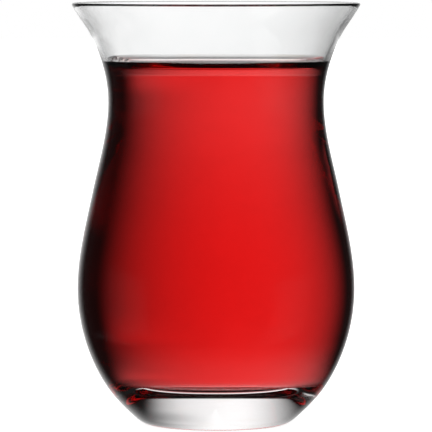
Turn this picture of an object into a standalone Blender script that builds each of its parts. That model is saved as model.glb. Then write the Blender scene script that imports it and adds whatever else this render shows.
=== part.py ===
"""Turkish tea glass, filled with black tea.

A tulip glass with a flared rim, a narrow waist, a full belly and a small thick foot. It stands on
z = 0 with its axis on Z, and its origin is the middle of the foot. Two pieces are turned about
that axis: the pressed glass, and the tea that fills it up to its level.

The half profiles are drawn in millimetres. A station is a point of a wall's profile: its radius,
its height, and how many degrees the wall leans outward there, 0 upright and 90 flat.
"""

import math

import bpy
import numpy as np

MM = 0.001
TURN_STEPS = 60
SEGMENT = 3.3

# Outer wall, from the foot up
FOOT_EDGE = (14.0, 0.0, 90.0)
FOOT_CORNER = (17.3, 1.6, 48.0)
HEEL = (23.5, 8.4, 33.5)
BELLY = (29.6, 29.0, 0.0)
SHOULDER = (26.3, 49.9, -12.0)
WAIST = (23.0, 69.0, 0.0)
THROAT = (25.9, 81.6, 23.5)

# Lip, a half round that joins both sides of the wall
HEIGHT = 90.0
RIM_RADIUS = 30.7
LIP_THICKNESS = 0.8
LIP_LEAN = 28.0
LIP_SEGMENTS = 6

# Wall thickness at the stations
THROAT_WALL = 1.0
WAIST_WALL = 1.5
SHOULDER_WALL = 1.6
BELLY_WALL = 1.7

# Inside of the thick base: a small flat floor, then a bowl that rises through two stations
FLOOR_HEIGHT = 9.5
FLOOR_RADIUS = 4.7
BOWL = (20.3, 12.7, 45.0)
HIP = (26.8, 20.0, 18.0)

# Tea: its level, its rise against the wall, and its clearance from the glass
TEA_LEVEL = 76.4
RISE = 1.5
RISE_REACH = 1.6
RISE_WIDTHS = (7.0, 3.6, 2.0, 1.0, 0.45)
CLEARANCE = 0.3

GLASS_COLOUR = (0.93, 0.96, 0.95, 1.0)
TEA_COLOUR = (0.56, 0.012, 0.014, 1.0)


def direction(lean):
    """Unit vector up along a wall that leans outward by so many degrees."""
    angle = math.radians(lean)
    return np.array([math.sin(angle), math.cos(angle)])


def inward(station, distance):
    """The station moved square to its wall, towards the inside of the glass."""
    up_r, up_z = direction(station[2])
    return (station[0] - distance * up_z, station[1] + distance * up_r, station[2])


def span(start, end):
    """Points of a cubic curve from start up to just before end, tangent to the wall at both."""
    first = np.array(start[:2])
    last = np.array(end[:2])
    chord = np.linalg.norm(last - first)
    count = max(2, round(chord / SEGMENT))
    t = np.arange(count)[:, None] / count
    from_first = (2 * t**3 - 3 * t**2 + 1) * first + (t**3 - 2 * t**2 + t) * chord * direction(start[2])
    from_last = (3 * t**2 - 2 * t**3) * last + (t**3 - t**2) * chord * direction(end[2])
    return from_first + from_last


def wall(stations):
    """Points of a wall through its stations, from the lowest to the highest."""
    spans = [span(low, high) for low, high in zip(stations, stations[1:])]
    return np.concatenate(spans + [np.array([stations[-1][:2]])])


def lip_point(turn):
    """Point of the lip's half round, turned by so many degrees from the outer wall."""
    radius = LIP_THICKNESS / 2
    angle = math.radians(turn - LIP_LEAN)
    return (
        RIM_RADIUS - radius + radius * math.cos(angle),
        HEIGHT - radius + radius * math.sin(angle),
    )


def inner_stations(gap):
    """Stations of the inner wall from the floor to the throat, moved inward by a gap."""
    return [
        (FLOOR_RADIUS, FLOOR_HEIGHT + gap, 90.0),
        inward(BOWL, gap),
        inward(HIP, gap),
        inward(BELLY, BELLY_WALL + gap),
        inward(SHOULDER, SHOULDER_WALL + gap),
        inward(WAIST, WAIST_WALL + gap),
        inward(THROAT, THROAT_WALL + gap),
    ]


def glass_profile():
    """From the floor's middle up the inside, round the lip, down the outside to the foot's middle."""
    lip_start = (*lip_point(0.0), LIP_LEAN)
    lip_end = (*lip_point(180.0), LIP_LEAN)
    inside = wall(inner_stations(0.0) + [lip_end])
    outside = wall([FOOT_EDGE, FOOT_CORNER, HEEL, BELLY, SHOULDER, WAIST, THROAT, lip_start])
    turns = np.linspace(180.0, 0.0, LIP_SEGMENTS + 1)[1:-1]
    lip = np.array([lip_point(turn) for turn in turns])
    foot_middle = np.array([(0.0, 0.0)])
    floor_middle = np.array([(0.0, FLOOR_HEIGHT)])
    return np.concatenate([floor_middle, inside, lip, outside[::-1], foot_middle])


def tea_profile():
    """From the middle of the surface out to its raised edge, down the side and to the floor."""
    side = wall(inner_stations(CLEARANCE))
    edge_height = TEA_LEVEL + RISE
    edge_radius = float(np.interp(edge_height, side[:, 1], side[:, 0]))
    surface = [(0.0, TEA_LEVEL)]
    for width in RISE_WIDTHS:
        surface.append((edge_radius - width, TEA_LEVEL + RISE * math.exp(-width / RISE_REACH)))
    surface.append((edge_radius, edge_height))
    below = side[side[:, 1] < edge_height - SEGMENT / 4]
    floor_middle = np.array([(0.0, FLOOR_HEIGHT + CLEARANCE)])
    return np.concatenate([np.array(surface), below[::-1], floor_middle])


def material(name, colour, roughness):
    """A clear material of one colour."""
    made = bpy.data.materials.new(name)
    made.use_nodes = True
    shader = made.node_tree.nodes["Principled BSDF"]
    shader.inputs["Base Color"].default_value = colour
    shader.inputs["Roughness"].default_value = roughness
    shader.inputs["Metallic"].default_value = 0.0
    shader.inputs["Transmission Weight"].default_value = 1.0
    return made


def turned(name, profile, finish, collection):
    """Object whose half profile, in millimetres, is turned about Z with a Screw modifier."""
    points = [(radius * MM, 0.0, height * MM) for radius, height in profile]
    edges = [(i, i + 1) for i in range(len(points) - 1)]
    mesh = bpy.data.meshes.new(name)
    mesh.from_pydata(points, edges, [])
    mesh.materials.append(finish)
    piece = bpy.data.objects.new(name, mesh)
    collection.objects.link(piece)
    screw = piece.modifiers.new("Turn", "SCREW")
    screw.axis = "Z"
    screw.angle = math.tau
    screw.steps = TURN_STEPS
    screw.render_steps = TURN_STEPS
    screw.use_merge_vertices = True
    screw.merge_threshold = 0.00005
    screw.use_smooth_shade = True
    return piece


for old in list(bpy.data.objects):
    bpy.data.objects.remove(old, do_unlink=True)

tea_glass = bpy.data.collections.new("turkish_tea_glass")
bpy.context.scene.collection.children.link(tea_glass)

turned("glass", glass_profile(), material("clear_glass", GLASS_COLOUR, 0.02), tea_glass)
turned("tea", tea_profile(), material("black_tea", TEA_COLOUR, 0.02), tea_glass)
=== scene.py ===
"""Looks of a Turkish tea glass filled with black tea.

The file follows the object as it is put together: the pressed wall of clear glass first, then the
tea in it, the small bubbles on its surface, and last the stage and the camera.
Profiles are in millimetres, as a glass maker draws them. Everything in Blender is in metres.
"""

import math

import bpy
import numpy as np
from mathutils import Matrix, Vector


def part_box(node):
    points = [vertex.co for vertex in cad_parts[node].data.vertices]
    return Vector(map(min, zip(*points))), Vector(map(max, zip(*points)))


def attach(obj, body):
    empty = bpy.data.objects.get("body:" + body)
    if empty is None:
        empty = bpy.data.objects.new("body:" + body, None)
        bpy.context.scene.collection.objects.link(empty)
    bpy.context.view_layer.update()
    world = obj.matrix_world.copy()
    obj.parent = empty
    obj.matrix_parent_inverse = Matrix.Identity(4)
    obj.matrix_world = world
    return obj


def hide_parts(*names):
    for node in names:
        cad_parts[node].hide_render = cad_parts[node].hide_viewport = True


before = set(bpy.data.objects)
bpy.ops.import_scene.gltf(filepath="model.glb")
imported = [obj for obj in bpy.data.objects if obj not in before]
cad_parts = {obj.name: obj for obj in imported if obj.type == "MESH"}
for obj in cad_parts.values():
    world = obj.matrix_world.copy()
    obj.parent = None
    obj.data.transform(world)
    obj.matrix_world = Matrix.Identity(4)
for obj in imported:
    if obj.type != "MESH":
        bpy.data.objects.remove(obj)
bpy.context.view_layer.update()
MM = 0.001


# The glass. One piece of clear soda-lime glass, pressed and fire polished: a flared mouth with a
# rounded lip, a narrow waist, a full belly and a thick round base over a small foot. It is made
# as one half profile turned about Z, and it replaces the plain solid of the same form.

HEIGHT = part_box("glass")[1][2] / MM
RIM_RADIUS = 30.7
LIP_THICKNESS = 0.8
LIP_LEAN = 28.0
LIP_STEPS = 16

# Stations of the outer wall, from the foot up: radius, height and outward lean in degrees
FOOT_EDGE = (14.0, 0.0, 90.0)
FOOT_CORNER = (17.3, 1.6, 48.0)
HEEL = (23.5, 8.4, 33.5)
BELLY = (29.6, 29.0, 0.0)
SHOULDER = (26.3, 49.9, -12.0)
WAIST = (23.0, 69.0, 0.0)
THROAT = (25.9, 81.6, 23.5)

# Thickness of the wall at the stations, and the inside of the thick base
THROAT_WALL = 1.0
WAIST_WALL = 1.5
SHOULDER_WALL = 1.6
BELLY_WALL = 1.7
FLOOR_HEIGHT = 9.5
FLOOR_RADIUS = 4.7
FLOOR_STEP = 1.0
BOWL = (20.3, 12.7, 45.0)
HIP = (26.8, 20.0, 18.0)

# Steps round the axis, and the spacing of a profile's points
TURNS = 256
FINE_STEP = 0.7

# How light bends in the glass and in the tea, and how far up the tea wets the wall
GLASS_IOR = 1.5
TEA_IOR = 1.33
TEA_LEVEL = 76.4
RISE = 1.5
EDGE_HEIGHT = TEA_LEVEL + RISE

# Scale and detail of the glass's faint waviness and haze, the strength and depth of the one, how
# much noise counts as the other, and the tints of clean and of hazy glass
WAVES = (110.0, 1.0)
WAVE_RELIEF = (0.02, 0.0006)
HAZE = (240.0, 2.0)
HAZE_EDGE = (0.4, 0.85)
CLEAN = (0.998, 1.0, 1.0, 1.0)
TOUCHED = (0.982, 0.988, 0.988, 1.0)


def direction(lean):
    """Unit vector up along a wall that leans outward by so many degrees: (sin, cos)."""
    angle = math.radians(lean)
    return np.array([math.sin(angle), math.cos(angle)])


def inward(station, distance):
    """The station moved square to its wall, by (-cos, +sin) of its lean times the distance."""
    along = direction(station[2])
    return (station[0] - distance * along[1], station[1] + distance * along[0], station[2])


def span(start, end):
    """Cubic Hermite curve between two stations, whose end tangents are as long as its chord."""
    first = np.array(start[:2])
    last = np.array(end[:2])
    chord = np.linalg.norm(last - first)
    count = max(2, round(chord / FINE_STEP))
    t = np.arange(count)[:, None] / count
    from_first = (2 * t**3 - 3 * t**2 + 1) * first + (t**3 - 2 * t**2 + t) * chord * direction(start[2])
    from_last = (3 * t**2 - 2 * t**3) * last + (t**3 - t**2) * chord * direction(end[2])
    return from_first + from_last


def wall(stations):
    """All spans through the stations, lowest first, as one array of radius and height."""
    spans = [span(low, high) for low, high in zip(stations, stations[1:])]
    return np.concatenate(spans + [np.array([stations[-1][:2]])])


def lip_points(turns):
    """Half circle of the lip: its centre plus its radius times (cos, sin) of the turn less the lean."""
    radius = LIP_THICKNESS / 2
    angle = np.radians(np.asarray(turns) - LIP_LEAN)
    centre = np.array([RIM_RADIUS - radius, HEIGHT - radius])
    return centre + radius * np.stack([np.cos(angle), np.sin(angle)], axis=1)


def inner_stations(gap):
    """Stations of the inner wall from the floor up, moved inward by a gap, or outward if negative."""
    return [
        (FLOOR_RADIUS, FLOOR_HEIGHT + gap, 90.0),
        inward(BOWL, gap),
        inward(HIP, gap),
        inward(BELLY, BELLY_WALL + gap),
        inward(SHOULDER, SHOULDER_WALL + gap),
        inward(WAIST, WAIST_WALL + gap),
        inward(THROAT, THROAT_WALL + gap),
    ]


def turned(name, profile, second_slot=slice(0, 0)):
    """Surface of revolution. Vertex (i, j) is profile point j, turned about Z by i / TURNS.

    The first and last profile points lie on the axis, and each is one vertex shared by a fan.
    The bands between profile points that second_slot names wear the second material.
    """
    ring = np.asarray(profile)[1:-1] * MM
    count = len(ring)
    angle = np.arange(TURNS) * (math.tau / TURNS)
    points = np.empty((TURNS, count, 3))
    points[:, :, 0] = np.cos(angle)[:, None] * ring[:, 0]
    points[:, :, 1] = np.sin(angle)[:, None] * ring[:, 0]
    points[:, :, 2] = ring[:, 1]
    ends = [(0.0, 0.0, profile[0][1] * MM), (0.0, 0.0, profile[-1][1] * MM)]
    vertices = np.concatenate([points.reshape(-1, 3), ends])
    this = np.arange(TURNS)[:, None] * count
    following = (np.arange(TURNS)[:, None] + 1) % TURNS * count
    j = np.arange(count - 1)
    quads = np.stack([this + j, this + j + 1, following + j + 1, following + j], axis=2)
    first = np.full(TURNS, TURNS * count)
    opening = np.stack([first, this[:, 0], following[:, 0]], axis=1)
    closing = np.stack([first + 1, following[:, 0] + count - 1, this[:, 0] + count - 1], axis=1)
    faces = quads.reshape(-1, 4).tolist() + opening.tolist() + closing.tolist()
    mesh = bpy.data.meshes.new(name)
    mesh.from_pydata(vertices.tolist(), [], faces)
    bands = np.zeros(count + 1, dtype=np.int32)
    bands[second_slot] = 1
    fans = [np.full(TURNS, bands[0]), np.full(TURNS, bands[-1])]
    mesh.polygons.foreach_set("material_index", np.concatenate([np.tile(bands[1:-1], TURNS), *fans]))
    mesh.shade_smooth()
    piece = bpy.data.objects.new(name, mesh)
    bpy.context.scene.collection.objects.link(piece)
    return piece


class Wire:
    """A socket of a node tree. Sums and products of wires add Math nodes, and node() any other."""

    def __init__(self, tree, socket=None):
        self.tree = tree
        self.socket = socket

    def node(self, kind, settings=None, sockets=None, out=0):
        """A new node: its settings first, then the values or wires of its inputs."""
        made = self.tree.nodes.new(kind)
        for setting, value in (settings or {}).items():
            setattr(made, setting, value)
        for key, value in (sockets or {}).items():
            if isinstance(value, Wire):
                self.tree.links.new(value.socket, made.inputs[key])
            else:
                made.inputs[key].default_value = value
        return Wire(self.tree, made.outputs[out])

    def math(self, operation, first, second=0.0):
        return self.node("ShaderNodeMath", {"operation": operation}, {0: first, 1: second})

    def __add__(self, other):
        return self.math("ADD", self, other)

    __radd__ = __add__

    def __mul__(self, other):
        return self.math("MULTIPLY", self, other)

    __rmul__ = __mul__

    def __rsub__(self, other):
        return self.math("SUBTRACT", other, self)

    def smooth(self, start, end, low=0.0, high=1.0):
        """Smooth step of this value, from low at start to high at end."""
        steps = {1: start, 2: end, 3: low, 4: high}
        return self.node("ShaderNodeMapRange", {"interpolation_type": "SMOOTHSTEP"}, {0: self, **steps})

    def tint(self, first, second):
        """Colour that goes from the first to the second as this value goes from 0 to 1."""
        return self.node("ShaderNodeMix", {"data_type": "RGBA"}, {0: self, 6: first, 7: second}, out=2)

    def noise(self, scale, detail):
        """Soft patches in the piece's own coordinates, so many of them for each metre."""
        place = self.node("ShaderNodeTexCoord", out=3)
        return self.node("ShaderNodeTexNoise", {}, {"Vector": place, "Scale": scale, "Detail": detail})

    def bump(self, strength, distance):
        """Normal of a surface whose relief is this value."""
        sockets = {"Strength": strength, "Distance": distance, "Height": self}
        return self.node("ShaderNodeBump", {}, sockets)

    def feed(self, node, name):
        """Link this to the input of that name."""
        self.tree.links.new(self.socket, node.inputs[name])


def clear_material(name, ior):
    """A clear dielectric. Returns the material, its shader and a Wire on its node tree."""
    made = bpy.data.materials.new(name)
    made.use_nodes = True
    shader = made.node_tree.nodes["Principled BSDF"]
    shader.inputs["IOR"].default_value = ior
    shader.inputs["Transmission Weight"].default_value = 1.0
    shader.inputs["Roughness"].default_value = 0.0
    return made, shader, Wire(made.node_tree)


def glass_finish(name, ior):
    """Fire-polished glass: clear, a little less so in faint patches, with a very faint waviness."""
    made, shader, wire = clear_material(name, ior)
    wire.noise(*HAZE).smooth(*HAZE_EDGE).tint(CLEAN, TOUCHED).feed(shader, "Base Color")
    wire.noise(*WAVES).bump(*WAVE_RELIEF).feed(shader, "Normal")
    return made


lip_outer = (*lip_points([0.0])[0], LIP_LEAN)
lip_inner = (*lip_points([180.0])[0], LIP_LEAN)
inside = wall(inner_stations(0.0) + [lip_inner])
inner_radius = float(np.interp(EDGE_HEIGHT, inside[:, 1], inside[:, 0]))
inside = np.concatenate([
    inside[inside[:, 1] < EDGE_HEIGHT - FINE_STEP / 4],
    [(inner_radius, EDGE_HEIGHT)],
    inside[inside[:, 1] > EDGE_HEIGHT + FINE_STEP / 4],
])
floor_rings = [(radius, FLOOR_HEIGHT) for radius in np.arange(FLOOR_STEP, FLOOR_RADIUS, FLOOR_STEP)]
wetted = 1 + len(floor_rings) + int(np.searchsorted(inside[:, 1], EDGE_HEIGHT))
glass_profile = np.concatenate([
    [(0.0, FLOOR_HEIGHT)],
    floor_rings,
    inside,
    lip_points(np.linspace(180.0, 0.0, LIP_STEPS + 1)[1:-1]),
    wall([FOOT_EDGE, FOOT_CORNER, HEEL, BELLY, SHOULDER, WAIST, THROAT, lip_outer])[::-1],
    [(0.0, 0.0)],
])
glass_wall = turned("glass_wall", glass_profile, slice(0, wetted))
glass_wall.data.materials.append(glass_finish("fire_polished_glass", GLASS_IOR))
glass_wall.data.materials.append(glass_finish("wetted_glass", GLASS_IOR / TEA_IOR))
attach(glass_wall, "root")
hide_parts("glass")


# The tea. Strong black tea, clear and red-brown, poured to just above the waist. Its surface is
# flat in the middle and climbs a little where it wets the wall. The piece reaches just into the
# wall, so that no air shows between the drink and the glass.

RISE_REACH = 1.6
INTO_WALL = 0.03
SURFACE_DEPTH = 0.4

# Rings of the surface: a few over its flat middle, and many over the strip by the wall
MIDDLE_RINGS = 12
STRIP_WIDTH = 7.0
STRIP_START = 0.97
STRIP_RINGS = 34

# What the tea takes out of the light, the faint clouds in it and the film on it, named as above
TEA_COLOUR = (0.93, 0.02, 0.02, 1.0)
TEA_DENSITY = 90.0
CLOUDS = (160.0, 2.0)
CLOUD_EDGE = (0.5, 0.8)
CLEAR = (1.0, 1.0, 1.0, 1.0)
CLOUDED = (0.985, 0.97, 0.955, 1.0)
FILM = (90.0, 2.0)
FILM_EDGE = (0.45, 0.8)
FILM_RELIEF = (0.01, 0.0005)
UNFILMED = (1.0, 0.995, 0.99, 1.0)
FILMED = (0.985, 0.95, 0.91, 1.0)


def surface_height(from_wall):
    """Height of the surface: the level plus the rise times exp(-distance from the wall / reach)."""
    return TEA_LEVEL + RISE * np.exp(-np.maximum(from_wall, 0.0) / RISE_REACH)


def tea_outlines():
    """Profiles of the tea's thin top layer and of the tea under it, both from the axis out."""
    side = wall(inner_stations(-INTO_WALL))
    edge_radius = float(np.interp(EDGE_HEIGHT, side[:, 1], side[:, 0]))
    middle = np.linspace(edge_radius, STRIP_WIDTH, MIDDLE_RINGS)
    strip = STRIP_WIDTH * np.linspace(STRIP_START, 0.0, STRIP_RINGS) ** 2
    from_wall = np.concatenate([middle, strip])
    surface = np.stack([edge_radius - from_wall, surface_height(from_wall - INTO_WALL)], axis=1)
    surface[0] = (0.0, TEA_LEVEL)
    layer_foot = TEA_LEVEL - SURFACE_DEPTH
    body_head = TEA_LEVEL - SURFACE_DEPTH / 2
    below = side[side[:, 1] < layer_foot - FINE_STEP / 4]
    low_edge = np.interp(layer_foot, side[:, 1], side[:, 0])
    layer = np.concatenate([surface, [(low_edge, layer_foot), (0.0, layer_foot)]])
    low = FLOOR_HEIGHT - INTO_WALL
    rings = [(radius, low) for radius in np.arange(FLOOR_RADIUS - FLOOR_STEP, 0.0, -FLOOR_STEP)]
    body = np.concatenate([[(0.0, body_head), (low_edge, body_head)], below[::-1], rings, [(0.0, low)]])
    return layer, len(surface) - 1, body


def tea_finish():
    """Tea as it colours light: it takes out green and blue strongly and hardly any red."""
    made, shader, wire = clear_material("black_tea", 1.0)
    wire.noise(*CLOUDS).smooth(*CLOUD_EDGE).tint(CLEAR, CLOUDED).feed(shader, "Base Color")
    drink = wire.node("ShaderNodeVolumeAbsorption", {}, {"Color": TEA_COLOUR, "Density": TEA_DENSITY})
    drink.feed(wire.tree.nodes["Material Output"], "Volume")
    return made


def surface_finish(name, ior):
    """The tea's still surface, with a very faint film that leaves it a little uneven."""
    made, shader, wire = clear_material(name, ior)
    film = wire.noise(*FILM)
    film.smooth(*FILM_EDGE).tint(UNFILMED, FILMED).feed(shader, "Base Color")
    film.bump(*FILM_RELIEF).feed(shader, "Normal")
    return made


layer_profile, layer_top, body_profile = tea_outlines()
tea_body = turned("tea_body", body_profile)
tea_body.data.materials.append(tea_finish())
tea_surface = turned("tea_surface", layer_profile, slice(layer_top, None))
tea_surface.data.materials.append(surface_finish("tea_surface", TEA_IOR))
tea_surface.data.materials.append(surface_finish("tea_within", 1.0))
for piece in (tea_body, tea_surface):
    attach(piece, "root")
    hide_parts("tea")


# The bubbles. Three small ones with thin walls of tea float by the wall, where the tea was poured
# in. Each is a sphere that sits a little in the surface, and bends light only near its edge.

# Place across the surface and radius of each
BUBBLES = ((-21.7, 1.6, 0.85), (-20.4, 3.4, 0.7), (-19.2, 5.2, 0.5))
BUBBLE_STEPS = 12
# A thin wall of tea bends light less than a drop of it does
FILM_IOR = 1.2


def bubble(name, x, y, radius):
    """Sphere whose centre is half its radius above the surface that it floats on."""
    height = surface_height(inner_radius - math.hypot(x, y)) + radius / 2
    angle = np.linspace(0.0, math.pi, BUBBLE_STEPS + 1)
    piece = turned(name, np.stack([radius * np.sin(angle), radius * np.cos(angle)], axis=1))
    piece.data.transform(Matrix.Translation((x * MM, y * MM, height * MM)))
    return piece


film_finish = surface_finish("bubble_film", FILM_IOR)
for number, (x, y, radius) in enumerate(BUBBLES, start=1):
    piece = bubble(f"bubble_{number}", x, y, radius)
    piece.data.materials.append(film_finish)
    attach(piece, "root")
    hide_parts("tea")


# The stage. A plain white floor and backdrop, which the camera sees, and an unseen screen round
# them, which shows only through the glass. Glassware is lit from behind: a wide soft light, a
# little to the left, that fades to both sides, so that the drink glows and its edges go dark.

FLOOR_REACH = 60.0
FLOOR_COLOUR = (0.86, 0.86, 0.86, 1.0)
FLOOR_ROUGHNESS = 0.9
FLOOR_GLOW = 1.0
BACKDROP_RADIUS = 4.0
BACKDROP_HEIGHT = 4.0
SCREEN_RADIUS = 5.0
SCREEN_SEGMENTS = 64
SCREEN_RINGS = 32
ROUND_SIDES = 128
WHITE = (1.0, 1.0, 1.0, 1.0)

# The soft lights on the screen. Each has its level, then the degrees over which it comes up and
# dies down by azimuth, from +Y towards +X, and by height above the horizon.
SCREEN_LIGHTS = (
    # The wide light behind the glass, and its dim lower part
    (0.94, (-50, -8), (-6, 37), (-35, -9), (22, 40)),
    (0.19, (-50, -8), (-6, 37), (-60, -36), (22, 40)),
    # A dim strip to the right of it, which shows only through the thick base
    (0.25, (0, 16), (20, 34), (0, 8), (28, 42)),
    # One for the left side of the glass and one for the right
    (0.95, (-124, -107), (-88, -64), (-38, -20), (0, 6)),
    (0.95, (84, 107), (120, 136), (-38, -20), (0, 6)),
    # The lit floor: just behind the glass, further left, on the right, and dim at the front right
    (0.95, (-36, -26), (26, 36), (-60, -51), (-40, -32)),
    (0.8, (-72, -62), (-38, -29), (-68, -60), (-25, -17)),
    (0.8, (98, 106), (130, 138), (-68, -60), (-25, -17)),
    (0.22, (130, 138), (170, 180), (-68, -60), (-25, -17)),
)
SCREEN_REST = 0.01

# The room that the glass mirrors: the light behind it, the dim rest, and the bright dome above
ROOM_LEFT = (-38, -5)
ROOM_RIGHT = (-3, 30)
ROOM_LEVEL = 0.98
ROOM_REST = 0.02
DOME_EDGE = (32, 60)
DOME_LEVEL = 1.2


def floor_finish():
    """Matt white paper, lit so evenly that it is as bright as the backdrop."""
    made = bpy.data.materials.new("pale_floor")
    made.use_nodes = True
    shader = made.node_tree.nodes["Principled BSDF"]
    shader.inputs["Base Color"].default_value = FLOOR_COLOUR
    shader.inputs["Roughness"].default_value = FLOOR_ROUGHNESS
    shader.inputs["Specular IOR Level"].default_value = 0.0
    shader.inputs["Emission Color"].default_value = WHITE
    shader.inputs["Emission Strength"].default_value = FLOOR_GLOW
    return made


def glowing(name, level):
    """A surface that only gives off white light, at a level worked out by a function of its Wire."""
    made = bpy.data.materials.new(name)
    made.use_nodes = True
    made.cycles.emission_sampling = "NONE"
    made.node_tree.nodes.clear()
    wire = Wire(made.node_tree)
    emitter = wire.node("ShaderNodeEmission", {}, {"Strength": level(wire)})
    emitter.feed(made.node_tree.nodes.new("ShaderNodeOutputMaterial"), "Surface")
    return made


def angles(wire, output, radius):
    """Azimuth and height in degrees of a point on a sphere: atan2(x, y) and arcsin(z / radius)."""
    parts = wire.tree.nodes.new("ShaderNodeSeparateXYZ")
    wire.node("ShaderNodeTexCoord", out=output).feed(parts, "Vector")
    x, y, z = [Wire(wire.tree, part) for part in parts.outputs]
    degrees = math.degrees(1.0)
    return wire.math("ARCTAN2", x, y) * degrees, wire.math("ARCSINE", z * (1.0 / radius)) * degrees


def soft_edges(value, start, end):
    """One between two soft edges and zero outside them, each a smooth step over its two angles."""
    return value.smooth(*start) * value.smooth(*end, 1.0, 0.0)


def screen_level(wire):
    """Sum of the screen's soft lights."""
    azimuth, height = angles(wire, 3, SCREEN_RADIUS)
    total = SCREEN_REST
    for level, left, right, bottom, top in SCREEN_LIGHTS:
        total = total + soft_edges(azimuth, left, right) * soft_edges(height, bottom, top) * level
    return total


bpy.ops.mesh.primitive_circle_add(vertices=ROUND_SIDES, radius=FLOOR_REACH, fill_type="NGON")
floor = bpy.context.object
floor.name = "floor"
floor.data.materials.append(floor_finish())
floor.visible_glossy = False
floor.visible_transmission = False

bpy.ops.mesh.primitive_uv_sphere_add(
    segments=SCREEN_SEGMENTS, ring_count=SCREEN_RINGS, radius=SCREEN_RADIUS
)
screen = bpy.context.object
screen.name = "screen"
screen.data.materials.append(glowing("screen_glow", screen_level))
screen.visible_camera = False
screen.visible_diffuse = False
screen.visible_glossy = False
screen.visible_shadow = False

bpy.ops.mesh.primitive_cylinder_add(
    vertices=ROUND_SIDES, radius=BACKDROP_RADIUS, depth=BACKDROP_HEIGHT, end_fill_type="NOTHING"
)
backdrop = bpy.context.object
backdrop.name = "backdrop"
backdrop.location.z = BACKDROP_HEIGHT / 2
backdrop.data.materials.append(glowing("white_backdrop", lambda wire: 1.0))
backdrop.visible_diffuse = False
backdrop.visible_glossy = False
backdrop.visible_transmission = False
backdrop.visible_shadow = False

studio = bpy.data.worlds.new("studio")
studio.use_nodes = True
bpy.context.scene.world = studio
azimuth, height = angles(Wire(studio.node_tree), 0, 1.0)
dome = height.smooth(*DOME_EDGE)
room = soft_edges(azimuth, ROOM_LEFT, ROOM_RIGHT) * ROOM_LEVEL + ROOM_REST
background = studio.node_tree.nodes["Background"]
background.inputs["Color"].default_value = WHITE
(room * (1 - dome) + dome * DOME_LEVEL).feed(background, "Strength")


# The camera. It stands nearly level with the rim and far off, as in the photo, with a long lens,
# so that the rim and the foot are almost straight lines.

CAMERA_DISTANCE = 0.95
CAMERA_HEIGHT = 0.1016
AIM_HEIGHT = 0.0445
LENS = 371.7
SENSOR_WIDTH = 36.0
FAR_CLIP = 200.0

# Light passes many faces of the glass, the tea and the bubbles on its way to the camera
LIGHT_BOUNCES = 32
MIRROR_BOUNCES = 12

lens = bpy.data.cameras.new("camera")
lens.lens = LENS
lens.sensor_width = SENSOR_WIDTH
lens.clip_end = FAR_CLIP
camera = bpy.data.objects.new("camera", lens)
camera.location = (0.0, -CAMERA_DISTANCE, CAMERA_HEIGHT)
camera.rotation_euler = (math.pi / 2 - math.atan((CAMERA_HEIGHT - AIM_HEIGHT) / CAMERA_DISTANCE), 0.0, 0.0)
bpy.context.scene.collection.objects.link(camera)
bpy.context.scene.camera = camera

bpy.context.scene.view_settings.view_transform = "Standard"
bpy.context.scene.cycles.max_bounces = LIGHT_BOUNCES
bpy.context.scene.cycles.transmission_bounces = LIGHT_BOUNCES
bpy.context.scene.cycles.glossy_bounces = MIRROR_BOUNCES
